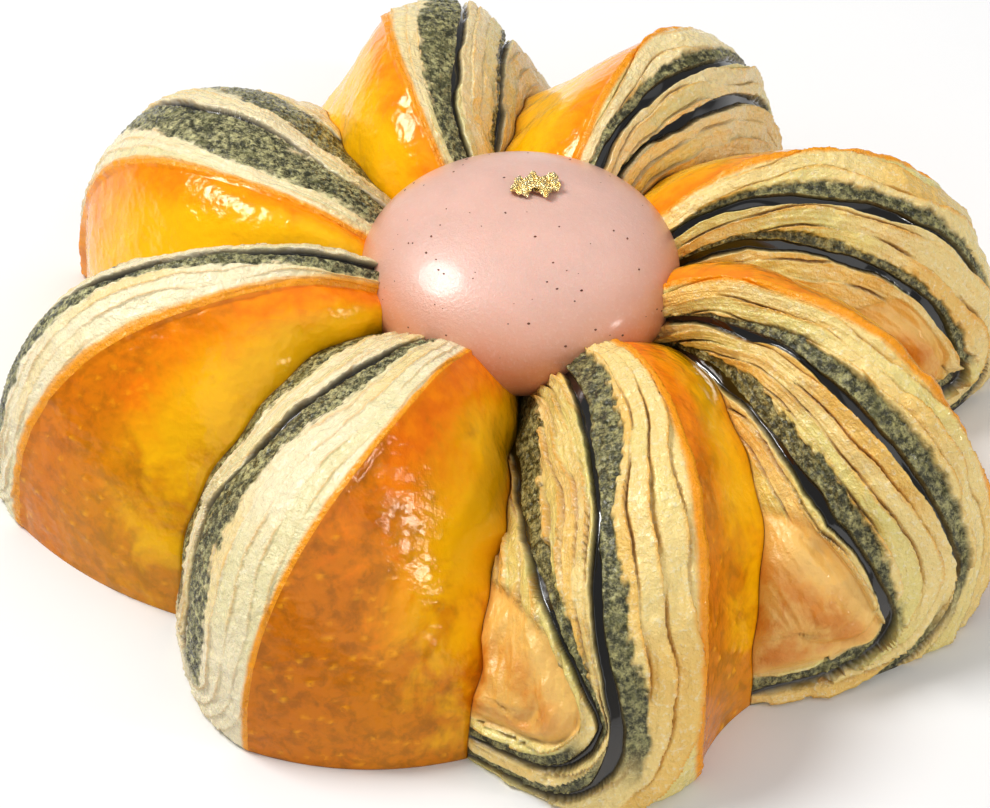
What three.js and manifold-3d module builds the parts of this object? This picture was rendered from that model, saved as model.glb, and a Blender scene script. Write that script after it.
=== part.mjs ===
// A flower-shaped danish pastry: eight strips of laminated dough stand round
// the middle as petals, each turned so that its glazed skin faces
// anticlockwise and its layered cut face clockwise. A gel dome sits in the
// nest between them and carries two flecks of gold leaf.
// Millimetres, +Z up, +Y away from the viewer. Azimuths are in degrees,
// anticlockwise from +X.
import * as THREE from "three";
import Module from "manifold-3d";

const wasm = await Module();
wasm.setup();

// ---- driving dimensions --------------------------------------------------

const GAP = 0.4; // clearance between neighbouring pieces
const INNER_R = 12; // where the petals' shaped tops begin, under the dome
const TIP_R = 1.5; // how near the flower's axis each petal's root reaches
const TURN_FROM_R = 18; // the crest and valley azimuths are given at these radii
const TURN_TO_R = 60;
const TURN_LEAST = -0.3; // how far the turn runs on inside and outside those radii
const TURN_MOST = 1.1;

// A crest or valley seen from the side: it climbs from the nest to its top,
// then falls to the ground along a quarter of a superellipse.
const CREST = { startZ: 22.5, topR: 32, squareness: 2.4 };
const VALLEY = { startZ: 16.5, topR: 26, squareness: 2.1 };
const CLIMB_SHARE = 0.35;

const ALONG = 24; // grid steps from nest to foot
const SKIN_ROWS = 3; // grid steps across the skin

// The dome is a pebble of set gel: one radius, a height above its widest
// line and a height below.
const DOME = { radius: 19.3, above: 9.8, below: 10.5, z: 25, y: -1 };
const DOME_SEGMENTS = 36;
const DOME_RINGS = 14;

// The eight petals, clockwise from the left rear. crest and valley give the
// azimuth near the dome and at the foot. The valley is the one on the
// petal's anticlockwise side. swell gives how far each face bulges near the
// dome and at the outer end. core is how far below the skin the fold's
// middle lies: near the dome, halfway, and at the outer end. foldRound is how
// far in, as a share of the way to that middle, the layers turn sharply. flap
// is the share of the petal's length from which its folded-under end shows,
// and bands are explained below.
const PETALS = [
  { crest: [173, 156], reach: 62.8, top: 30.6, valley: [187, 171.5], valleyReach: 53,
    valleyTop: 26.5, skinSwell: [1.5, 0.3], cutSwell: [1.9, 7.0], core: [20, 31, 26],
    foldRound: 1, flap: 0.95,
    bands: [[0.12, 0.4, 0.68, 0.9], [0.09, 0.41, 0.56, 0.85],
      [0.11, 0.3, 0.47, 0.8], [0.16, 0.33, 0.52, 0.82],
      [0.2, 0.36, 0.6, 0.85], [0.2, 0.36, 0.6, 0.8]] },
  { crest: [122, 107], reach: 62.2, top: 31.0, valley: [138, 115.5], valleyReach: 58.2,
    valleyTop: 22.2, skinSwell: [1.5, 0.2], cutSwell: [2.2, 6.8], core: [16, 21, 17],
    foldRound: 1, flap: 0.95,
    bands: [[0.1, 0.28, 0.7, 0.81], [0.14, 0.38, 0.72, 0.79],
      [0.16, 0.41, 0.71, 0.77], [0.18, 0.42, 0.72, 0.79],
      [0.2, 0.44, 0.76, 0.82], [0.2, 0.44, 0.76, 0.82]] },
  { crest: [68.5, 65], reach: 59.8, top: 31.2, valley: [97, 82.5], valleyReach: 57.0,
    valleyTop: 19.2, skinSwell: [1.3, -0.2], cutSwell: [2.0, 5.8], core: [10, 13, 11],
    foldRound: 1, flap: 0.95,
    bands: [[0.17, 0.32, 0.6, 0.65], [0.3, 0.45, 0.84, 0.885],
      [0.41, 0.57, 0.94, 0.98], [0.45, 0.58, 0.95, 1],
      [0.42, 0.54, 0.9, 0.96], [0.42, 0.54, 0.9, 0.96]] },
  { crest: [20.5, 17.5], reach: 60.6, top: 32.6, valley: [49, 46.5], valleyReach: 48.6,
    valleyTop: 21.2, skinSwell: [1.2, 0.8], cutSwell: [2.0, 4.9], core: [10, 14.5, 15],
    foldRound: 1.2, flap: 0.68,
    bands: [[0.27, 0.34, 0.66, 0.75], [0.29, 0.46, 0.745, 0.88],
      [0.4, 0.56, 0.92, 1.04], [0.46, 0.57, 1.02, 1.1],
      [0.42, 0.52, 1.02, 1.13], [0.42, 0.5, 0.85, 0.92]] },
  { crest: [-23.5, -28], reach: 62.5, top: 33.4, valley: [1, -4], valleyReach: 51.2,
    valleyTop: 22.2, skinSwell: [2.1, 0.7], cutSwell: [1.1, 4.8], core: [12, 21, 20],
    foldRound: 1.4, flap: 0.7,
    bands: [[0.33, 0.385, 0.6, 0.7], [0.23, 0.335, 0.57, 0.71],
      [0.255, 0.395, 0.68, 0.82], [0.265, 0.43, 0.8, 0.95],
      [0.25, 0.345, 0.82, 0.89], [0.25, 0.345, 0.66, 0.72]] },
  { crest: [-54.5, -70.5], reach: 62.4, top: 30.2, valley: [-29.5, -65.5], valleyReach: 55.5,
    valleyTop: 22.2, skinSwell: [0.6, -0.9], cutSwell: [3.1, 6.5], core: [17, 24, 13],
    foldRound: 1.4, flap: 0.68,
    bands: [[0.2, 0.395, 0.665, 0.97], [0.24, 0.415, 0.745, 0.93],
      [0.34, 0.425, 0.7, 0.85], [0.35, 0.52, 0.665, 0.78],
      [0.35, 0.56, 0.63, 0.68], [0.35, 0.57, 0.78, 0.86]] },
  { crest: [-107, -118], reach: 63.8, top: 31.5, valley: [-91, -96.5], valleyReach: 57.2,
    valleyTop: 16.6, skinSwell: [1.6, 2.2], cutSwell: [1.2, 2.6], core: [18, 31, 27],
    foldRound: 1, flap: 0.95,
    bands: [[0.22, 0.3, 0.6, 0.8], [0.265, 0.405, 0.6, 0.8],
      [0.37, 0.5, 0.66, 0.84], [0.38, 0.64, 0.75, 0.88],
      [0.31, 0.54, 0.7, 0.86], [0.31, 0.54, 0.7, 0.86]] },
  { crest: [-153.5, -161], reach: 63.5, top: 32.2, valley: [-147, -138], valleyReach: 53.2,
    valleyTop: 25.5, skinSwell: [1.6, 1.5], cutSwell: [3.6, 6.8], core: [12, 24, 28],
    foldRound: 1, flap: 0.95,
    bands: [[0.05, 0.16, 0.36, 0.6], [0.165, 0.27, 0.4, 0.6],
      [0.23, 0.28, 0.4, 0.6], [0.21, 0.4, 0.55, 0.7],
      [0.13, 0.45, 0.62, 0.78], [0.13, 0.45, 0.62, 0.78]] },
];

// Each petal's bands give, at these shares of its length, how far in from the
// skin its first porous band, its first dark sheet, its second porous band and
// its second dark sheet start, as shares of the way to the fold's core. They
// are evened out to the same four depths for every petal.
const BAND_STATIONS = [0.2, 0.4, 0.55, 0.7, 0.86, 0.94];
const EVEN_BANDS = [0.27, 0.405, 0.72, 0.855];

// Relief across the cut face by evened depth, from the skin (0) to the fold's
// core (1): pale flaky bands stand proud, the porous dark bands lie lower
// and each glossy dark sheet runs in a groove.
const LAYERS = [
  { depth: 0.0, lift: 0.0 },
  { depth: 0.12, lift: 0.5 },
  { depth: 0.25, lift: 0.4 },
  { depth: 0.28, lift: -0.2 },
  { depth: 0.37, lift: -0.1 },
  { depth: 0.4, lift: -1.1 },
  { depth: 0.43, lift: 0.3 },
  { depth: 0.57, lift: 0.6 },
  { depth: 0.7, lift: 0.3 },
  { depth: 0.73, lift: -0.3 },
  { depth: 0.82, lift: -0.2 },
  { depth: 0.85, lift: -1.1 },
  { depth: 0.88, lift: 0.2 },
  { depth: 1.0, lift: 0.6 },
];
const FOLD_HEIGHT = 12.8; // from the fold's underside to its core, along the face
const FOLD_HIDDEN = 6.4; // how much of that lies under the petal

// The folded-under end of a petal: how far it swells up, the strips between it
// and the second sheet, its corner's radius, and how far in it keeps rising.
// It starts farther out by the crest than by the valley.
const FLAP = { height: 1.5, sideRim: 1.3, footRim: 3.2, corner: 5, mound: 4,
  slant: 0.35, slantFrom: 0.7, entry: 0.2 };
const FADE_SHARE = 0.12; // share of the petal's length over which bulge and relief come in
const SATURATE = 0.8; // share of the face's width that layers keep their true depth

const GOLD = { thickness: 0.25, rings: 3, segments: 14, crumple: 0.4, hover: 0.85 };
const GOLD_FLECKS = [
  { name: "gold_leaf_left", x: 0.5, y: 2.7, halfX: 1.45, halfY: 1.9, seed: 11 },
  { name: "gold_leaf_right", x: 3.6, y: 2.6, halfX: 1.35, halfY: 1.8, seed: 29 },
];

// ---- colours --------------------------------------------------------------

const CRUST = { color: 0xdda23e, roughness: 0.35, metalness: 0 };
const GEL = { color: 0xd99b88, roughness: 0.18, metalness: 0 };
const LEAF = { color: 0xcfae62, roughness: 0.25, metalness: 1 };

// ---- small helpers ----------------------------------------------------------

const radians = THREE.MathUtils.degToRad;
const lerp = THREE.MathUtils.lerp;
const clamp = THREE.MathUtils.clamp;

function smooth(x) {
  const t = clamp(x, 0, 1);
  return t * t * (3 - 2 * t);
}

// A repeatable stream of numbers from 0 to 1.
function randomStream(seed) {
  let state = seed;
  return () => {
    state = (state * 1664525 + 1013904223) % 4294967296;
    return state / 4294967296;
  };
}

// ---- crest and valley curves ------------------------------------------------

function profilePoint(t, shape, top, reach) {
  if (t < CLIMB_SHARE) {
    const climb = t / CLIMB_SHARE;
    const z = lerp(shape.startZ, top, Math.sin((climb * Math.PI) / 2));
    return [lerp(INNER_R, shape.topR, climb), z];
  }
  const angle = (((t - CLIMB_SHARE) / (1 - CLIMB_SHARE)) * Math.PI) / 2;
  const power = 2 / shape.squareness;
  const out = Math.pow(Math.sin(angle), power);
  const up = Math.pow(Math.max(Math.cos(angle), 0), power);
  return [shape.topR + (reach - shape.topR) * out, top * up];
}

// Points spaced evenly along the curve, from the nest to the ground.
function curvePoints(azimuths, shape, top, reach, count) {
  const fine = 300;
  const profile = [];
  const travelled = [0];
  for (let i = 0; i < fine; i++) {
    profile.push(profilePoint(i / (fine - 1), shape, top, reach));
    if (i === 0) continue;
    const [r0, z0] = profile[i - 1];
    const [r1, z1] = profile[i];
    travelled.push(travelled[i - 1] + Math.hypot(r1 - r0, z1 - z0));
  }
  const points = [];
  let i = 0;
  for (let j = 0; j <= count; j++) {
    const goal = (travelled[fine - 1] * j) / count;
    while (i < fine - 2 && travelled[i + 1] < goal) i++;
    const share = clamp((goal - travelled[i]) / (travelled[i + 1] - travelled[i]), 0, 1);
    const r = lerp(profile[i][0], profile[i + 1][0], share);
    const z = j === count ? 0 : lerp(profile[i][1], profile[i + 1][1], share);
    const turn = (r - TURN_FROM_R) / (TURN_TO_R - TURN_FROM_R);
    const azimuth = radians(lerp(azimuths[0], azimuths[1], clamp(turn, TURN_LEAST, TURN_MOST)));
    points.push(new THREE.Vector3(r * Math.cos(azimuth), r * Math.sin(azimuth), z));
  }
  return points;
}

function crestOf(petal) {
  return curvePoints(petal.crest, CREST, petal.top, petal.reach, ALONG);
}

function valleyOf(petal) {
  return curvePoints(petal.valley, VALLEY, petal.valleyTop, petal.valleyReach, ALONG);
}

// Moves a valley sideways, anticlockwise for a positive distance.
function sidestep(points, distance) {
  return points.map((p) => {
    const r = Math.hypot(p.x, p.y);
    return new THREE.Vector3(p.x - (p.y / r) * distance, p.y + (p.x / r) * distance, p.z);
  });
}

// ---- the petal's two faces ------------------------------------------------

// How far along the crest a point is, as a weight from the dome to the end.
function outward(i) {
  return smooth((i / ALONG - 0.25) / 0.45);
}

// Bulge and relief come in gradually from the flat inner end.
function shaped(i) {
  return smooth(i / ALONG / FADE_SHARE);
}

// The direction in which a face bulges at step i.
function faceNormal(crest, valley, i, side) {
  const before = Math.max(i - 1, 0);
  const after = Math.min(i + 1, ALONG);
  const along = new THREE.Vector3()
    .add(crest[after])
    .add(valley[after])
    .sub(crest[before])
    .sub(valley[before]);
  const across = new THREE.Vector3().subVectors(valley[i], crest[i]);
  return across.cross(along).multiplyScalar(side).normalize();
}

function skinPoint(petal, crest, valley, i, share) {
  const swell = lerp(petal.skinSwell[0], petal.skinSwell[1], outward(i)) * shaped(i);
  const normal = faceNormal(crest, valley, i, -1);
  const point = new THREE.Vector3().lerpVectors(crest[i], valley[i], share);
  return point.addScaledVector(normal, swell * 4 * share * (1 - share));
}

// The depth of the fold's core below the skin at step i: a curve through the
// three given values.
function coreDepth(petal, i) {
  const t = i / ALONG;
  const [near, middle, far] = petal.core;
  return t < 0.5 ? lerp(near, middle, smooth(2 * t)) : lerp(middle, far, smooth(2 * t - 1));
}

// Layers run beside the crest, then turn back under the petal's outer end.
function layerDepth(petal, core, fromCrest, fromFoot) {
  const across = petal.foldRound - fromCrest / core;
  const down = petal.foldRound - (fromFoot + FOLD_HIDDEN) / FOLD_HEIGHT;
  const inner = Math.max(Math.min(-across, -down), 0);
  const outer = Math.hypot(Math.max(across, 0), Math.max(down, 0));
  return Math.max(petal.foldRound - outer, 0) + inner;
}

// A value read off a chain of straight lines from one list of stops to another.
function readOff(value, from, to) {
  let i = 0;
  while (i < from.length - 2 && from[i + 1] < value) i++;
  return lerp(to[i], to[i + 1], (value - from[i]) / (from[i + 1] - from[i]));
}

// The petal's own band depths at step i, and the evened ones they match. Both
// run on past the last band at the same rate.
function bandStops(petal, i) {
  const at = clamp(i / ALONG, BAND_STATIONS[0], BAND_STATIONS[BAND_STATIONS.length - 1]);
  const own = EVEN_BANDS.map((_, k) =>
    readOff(at, BAND_STATIONS, petal.bands.map((band) => band[k])));
  return [0, ...own, own[own.length - 1] + 1];
}

const EVEN_STOPS = [0, ...EVEN_BANDS, EVEN_BANDS[EVEN_BANDS.length - 1] + 1];

// The folded-under end swells up inside its rim, which has a rounded corner.
function flapAt(petal, i, share, fromCrest, fromFoot) {
  const sheets = EVEN_BANDS.length;
  const sheet = bandStops(petal, i)[sheets] * coreDepth(petal, i);
  const lastBand = petal.bands[petal.bands.length - 1];
  const side = fromCrest - sheet - FLAP.sideRim;
  const foot = fromFoot + FOLD_HIDDEN - lastBand[sheets - 1] * FOLD_HEIGHT - FLAP.footRim;
  const corner = Math.hypot(Math.max(FLAP.corner - side, 0), Math.max(FLAP.corner - foot, 0));
  const rise = Math.sqrt(clamp((FLAP.corner - corner) / FLAP.mound, 0, 1));
  const start = petal.flap - FLAP.slant * (share - FLAP.slantFrom);
  return FLAP.height * rise * smooth((i / ALONG - start) / FLAP.entry);
}

function reliefAt(depth) {
  let i = 0;
  while (i < LAYERS.length - 2 && LAYERS[i + 1].depth < depth) i++;
  const a = LAYERS[i];
  const b = LAYERS[i + 1];
  return lerp(a.lift, b.lift, clamp((depth - a.depth) / (b.depth - a.depth), 0, 1));
}

// Keeps a row of the grid on the face where the layer it follows runs off it.
function saturated(share) {
  const room = 1 - SATURATE;
  return share < SATURATE ? share : 1 - room * Math.exp(-(share - SATURATE) / room);
}

function cutRows(petal, crest, valley, i) {
  const width = crest[i].distanceTo(valley[i]);
  const stops = bandStops(petal, i);
  const own = LAYERS.map((layer) => readOff(layer.depth, EVEN_STOPS, stops));
  const rows = own.map((depth) => saturated((depth * coreDepth(petal, i)) / width));
  const last = rows[rows.length - 1];
  return [...rows, lerp(last, 1, 0.5), 1];
}

function cutPoint(petal, crest, valley, i, share, length) {
  const swell = lerp(petal.cutSwell[0], petal.cutSwell[1], outward(i));
  const full = swell * Math.sin(Math.PI * Math.pow(share, 0.8));
  const normal = faceNormal(crest, valley, i, 1);
  const width = crest[i].distanceTo(valley[i]);
  const fromCrest = share * width;
  const fromFoot = (1 - i / ALONG) * length;
  const depth = layerDepth(petal, coreDepth(petal, i), fromCrest, fromFoot);
  const layers = reliefAt(readOff(depth, bandStops(petal, i), EVEN_STOPS));
  const relief = layers + flapAt(petal, i, share, fromCrest, fromFoot);
  const lift = (relief * (1 - Math.pow(share, 8)) + full) * shaped(i);
  const point = new THREE.Vector3().lerpVectors(crest[i], valley[i], share);
  return point.addScaledVector(normal, lift);
}

function lengthOf(points) {
  let total = 0;
  for (let i = 1; i < points.length; i++) total += points[i].distanceTo(points[i - 1]);
  return total;
}

// One line of points per step: from the anticlockwise valley over the crest
// to the clockwise valley.
function petalLines(petal, next) {
  const crest = crestOf(petal);
  const left = sidestep(valleyOf(petal), -GAP / 2);
  const right = sidestep(valleyOf(next), GAP / 2);
  const length = lengthOf(crest);
  const lines = [];
  for (let i = 0; i <= ALONG; i++) {
    const line = [];
    for (let j = 0; j < SKIN_ROWS; j++)
      line.push(skinPoint(petal, crest, left, i, 1 - j / SKIN_ROWS));
    for (const share of cutRows(petal, crest, right, i))
      line.push(cutPoint(petal, crest, right, i, share, length));
    for (const point of line) point.z = i === ALONG ? 0 : Math.max(point.z, 0.3);
    lines.push(line);
  }
  return lines;
}

// ---- closed solids ------------------------------------------------------------

// Collects triangles over a shared list of points.
class Shell {
  constructor() {
    this.points = [];
    this.faces = [];
  }

  add(x, y, z) {
    this.points.push(x, y, z);
    return this.points.length / 3 - 1;
  }

  quad(a, b, c, d) {
    this.faces.push(a, b, c, a, c, d);
  }

  solid() {
    const mesh = new wasm.Mesh({
      numProp: 3,
      vertProperties: new Float32Array(this.points),
      triVerts: new Uint32Array(this.faces),
    });
    return new wasm.Manifold(mesh);
  }
}

// The petal's top, its two side walls, its inner wall and its flat underside.
function shapedPetal(lines) {
  const shell = new Shell();
  const top = lines.map((line) => line.map((p) => shell.add(p.x, p.y, p.z)));
  const last = lines[0].length - 1;
  for (let i = 0; i < ALONG; i++)
    for (let j = 0; j < last; j++)
      shell.quad(top[i][j], top[i][j + 1], top[i + 1][j + 1], top[i + 1][j]);

  // Points on the ground under both valleys and under the inner edge. The
  // foot itself is already on the ground.
  const under = (index) => {
    const [x, y] = shell.points.slice(index * 3, index * 3 + 2);
    return shell.add(x, y, 0);
  };
  const left = top.map((line, i) => (i === ALONG ? line[0] : under(line[0])));
  const right = top.map((line, i) => (i === ALONG ? line[last] : under(line[last])));
  for (let i = 0; i < ALONG; i++) {
    shell.faces.push(top[i][0], top[i + 1][0], left[i]);
    shell.faces.push(top[i + 1][last], top[i][last], right[i]);
    if (i === ALONG - 1) continue;
    shell.faces.push(top[i + 1][0], left[i + 1], left[i]);
    shell.faces.push(top[i + 1][last], right[i], right[i + 1]);
  }
  const inner = top[0].map((index, j) => (j === 0 ? left[0] : j === last ? right[0] : under(index)));
  for (let j = 0; j < last; j++) shell.quad(top[0][j + 1], top[0][j], inner[j], inner[j + 1]);

  const outline = [...left.slice(0, ALONG), ...top[ALONG], ...right.slice(0, ALONG).reverse()];
  outline.push(...inner.slice(1, last).reverse());
  const flat = outline.map((k) => new THREE.Vector2(shell.points[3 * k], shell.points[3 * k + 1]));
  // The triangles come out facing up, so each is turned over.
  for (const [a, b, c] of THREE.ShapeUtils.triangulateShape(flat, []))
    shell.faces.push(outline[a], outline[c], outline[b]);
  return shell.solid();
}

// The root under the dome: a wedge that narrows to the flower's axis.
function petalRoot(lines) {
  const from = lines[0][0];
  const to = lines[0][lines[0].length - 1];
  const shell = new Shell();
  const inset = 0.05; // keeps the root's sides just inside the walls that it joins
  const corner = (p, radius, distance) => {
    const r = Math.hypot(p.x, p.y);
    const x = (p.x / r) * radius - (p.y / r) * distance;
    const y = (p.y / r) * radius + (p.x / r) * distance;
    return new THREE.Vector2(x, y);
  };
  const outer = INNER_R + 0.4;
  const plan = [
    corner(from, TIP_R, -GAP / 2 - inset),
    corner(from, outer, -inset),
    corner(to, outer, inset),
    corner(to, TIP_R, GAP / 2 + inset),
  ];
  const low = plan.map((p) => shell.add(p.x, p.y, 0));
  const high = plan.map((p) => shell.add(p.x, p.y, VALLEY.startZ));
  for (let i = 0; i < plan.length; i++) {
    const j = (i + 1) % plan.length;
    shell.quad(low[i], high[i], high[j], low[j]);
  }
  shell.quad(high[0], high[3], high[2], high[1]);
  shell.quad(low[0], low[1], low[2], low[3]);
  return shell.solid();
}

// The dome's surface, or with a margin the nest that it sits in.
function pebble(margin) {
  const shell = new Shell();
  const rings = [];
  for (let i = 1; i < DOME_RINGS; i++) {
    const latitude = -Math.PI / 2 + (Math.PI * i) / DOME_RINGS;
    const height = (latitude > 0 ? DOME.above : DOME.below) + margin;
    const radius = (DOME.radius + margin) * Math.cos(latitude);
    const ring = [];
    for (let j = 0; j < DOME_SEGMENTS; j++) {
      const turn = (2 * Math.PI * j) / DOME_SEGMENTS;
      const z = DOME.z + height * Math.sin(latitude);
      ring.push(shell.add(radius * Math.cos(turn), DOME.y + radius * Math.sin(turn), z));
    }
    rings.push(ring);
  }
  const south = shell.add(0, DOME.y, DOME.z - DOME.below - margin);
  const north = shell.add(0, DOME.y, DOME.z + DOME.above + margin);
  for (let j = 0; j < DOME_SEGMENTS; j++) {
    const k = (j + 1) % DOME_SEGMENTS;
    shell.faces.push(south, rings[0][k], rings[0][j]);
    for (let i = 0; i < rings.length - 1; i++)
      shell.quad(rings[i][j], rings[i][k], rings[i + 1][k], rings[i + 1][j]);
    const highest = rings[rings.length - 1];
    shell.faces.push(north, highest[j], highest[k]);
  }
  return shell.solid();
}

// ---- gold leaf ------------------------------------------------------------------

function domeHeight(x, y) {
  const out = (x * x + (y - DOME.y) ** 2) / DOME.radius ** 2;
  return DOME.z + DOME.above * Math.sqrt(1 - out);
}

// A crumpled fleck with a ragged edge. Both faces carry the same grid.
function goldFleck(fleck) {
  const random = randomStream(fleck.seed);
  const shell = new Shell();
  const edge = Array.from({ length: GOLD.segments }, () => lerp(0.7, 1.0, random()));
  const place = (x, y, bump) => {
    const z = domeHeight(x, y) + GOLD.hover + bump;
    return [shell.add(x, y, z), shell.add(x, y, z - GOLD.thickness)];
  };
  const middle = place(fleck.x, fleck.y, 0);
  const rings = [];
  for (let i = 1; i <= GOLD.rings; i++) {
    const ring = [];
    for (let j = 0; j < GOLD.segments; j++) {
      const turn = (2 * Math.PI * j) / GOLD.segments;
      const share = (edge[j] * i) / GOLD.rings;
      const x = fleck.x + fleck.halfX * share * Math.cos(turn);
      const y = fleck.y + fleck.halfY * share * Math.sin(turn);
      ring.push(place(x, y, GOLD.crumple * (2 * random() - 1)));
    }
    rings.push(ring);
  }
  for (let j = 0; j < GOLD.segments; j++) {
    const k = (j + 1) % GOLD.segments;
    shell.faces.push(middle[0], rings[0][j][0], rings[0][k][0]);
    shell.faces.push(middle[1], rings[0][k][1], rings[0][j][1]);
    for (let i = 0; i < GOLD.rings - 1; i++) {
      const [a, b, c, d] = [rings[i][j], rings[i + 1][j], rings[i + 1][k], rings[i][k]];
      shell.quad(a[0], b[0], c[0], d[0]);
      shell.faces.push(a[1], c[1], b[1], a[1], d[1], c[1]);
    }
    const rim = rings[GOLD.rings - 1];
    shell.quad(rim[j][0], rim[j][1], rim[k][1], rim[k][0]);
  }
  return shell.solid();
}

// ---- assembly --------------------------------------------------------------------

function meshOf(name, solid, finish) {
  const made = solid.getMesh();
  const geometry = new THREE.BufferGeometry();
  geometry.setAttribute("position", new THREE.BufferAttribute(made.vertProperties, 3));
  geometry.setIndex(new THREE.BufferAttribute(made.triVerts, 1));
  geometry.computeVertexNormals();
  const mesh = new THREE.Mesh(geometry, new THREE.MeshStandardMaterial(finish));
  mesh.name = name;
  return mesh;
}

function buildPastry() {
  const pastry = new THREE.Group();
  pastry.name = "danish_pastry";
  const nest = pebble(GAP);
  PETALS.forEach((petal, k) => {
    const lines = petalLines(petal, PETALS[(k + 1) % PETALS.length]);
    const solid = shapedPetal(lines).add(petalRoot(lines)).subtract(nest);
    pastry.add(meshOf("petal_" + (k + 1), solid, CRUST));
  });
  pastry.add(meshOf("gel_dome", pebble(0), GEL));
  for (const fleck of GOLD_FLECKS) pastry.add(meshOf(fleck.name, goldFleck(fleck), LEAF));
  return pastry;
}

// The origin is under the middle of the bounding box, on the ground.
function centred(pastry) {
  const box = new THREE.Box3().setFromObject(pastry, true);
  const middle = box.getCenter(new THREE.Vector3());
  for (const mesh of pastry.children) mesh.geometry.translate(-middle.x, -middle.y, -box.min.z);
  return pastry;
}

export default centred(buildPastry());
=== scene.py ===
"""A flower-shaped danish pastry: eight petals of two-coloured laminated dough
under a glaze, a pink gel dome in the nest between them and gold leaf on top.

The petals are lofted from the same named sizes as the solids. A tree of nodes
then raises their layers, and the materials read what the loft and the tree
have left on each petal.
"""

import math

import bpy
import numpy as np
from bpy.props import FloatProperty, FloatVectorProperty, PointerProperty
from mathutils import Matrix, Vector


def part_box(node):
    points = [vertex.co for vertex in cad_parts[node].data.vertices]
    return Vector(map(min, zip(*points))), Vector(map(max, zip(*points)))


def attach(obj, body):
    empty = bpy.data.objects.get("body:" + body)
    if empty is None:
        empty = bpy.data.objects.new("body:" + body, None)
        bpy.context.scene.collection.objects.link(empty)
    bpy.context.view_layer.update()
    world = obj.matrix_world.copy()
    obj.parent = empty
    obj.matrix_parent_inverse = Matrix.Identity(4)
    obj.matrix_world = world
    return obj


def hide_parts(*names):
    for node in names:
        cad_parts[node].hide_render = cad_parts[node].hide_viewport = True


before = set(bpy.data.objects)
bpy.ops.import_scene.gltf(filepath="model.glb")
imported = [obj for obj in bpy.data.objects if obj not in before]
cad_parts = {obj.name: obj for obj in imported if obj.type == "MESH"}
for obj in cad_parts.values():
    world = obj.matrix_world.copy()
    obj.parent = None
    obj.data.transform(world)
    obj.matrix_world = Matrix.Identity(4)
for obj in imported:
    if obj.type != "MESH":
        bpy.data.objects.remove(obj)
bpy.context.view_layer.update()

bl_info = {
    "name": "Flower Danish",
    "version": (1, 0, 0),
    "blender": (4, 5, 0),
    "location": "View3D > Sidebar > Pastry",
    "description": "Builds a glazed flower danish with a gel dome and gold leaf",
    "category": "Add Mesh",
}

# ---- sizes shared with the solids, in millimetres ----

MM = 0.001
PER_MM = (1 / MM,) * 3
INNER_R = 12.0
TIP_R = 1.0
TURN_FROM_R = 18.0
TURN_TO_R = 60.0
TURN_LEAST, TURN_MOST = -0.3, 1.1
CREST = {"start_z": 22.5, "top_r": 32.0, "squareness": 2.4}
VALLEY = {"start_z": 16.5, "top_r": 26.0, "squareness": 2.1}
DOME_RADIUS = 19.3
DOME_ABOVE = 9.8
DOME_BELOW = 10.5
DOME_Z = 25.0
DOME_Y = -1.0
FOLD_HEIGHT = 12.8
FOLD_HIDDEN = 6.4
FADE_SHARE = 0.12
SWELL_FROM, SWELL_OVER = 0.25, 0.45
CUT_LEAN = 0.8  # below 1, a cut face bulges most near its crest

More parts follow.
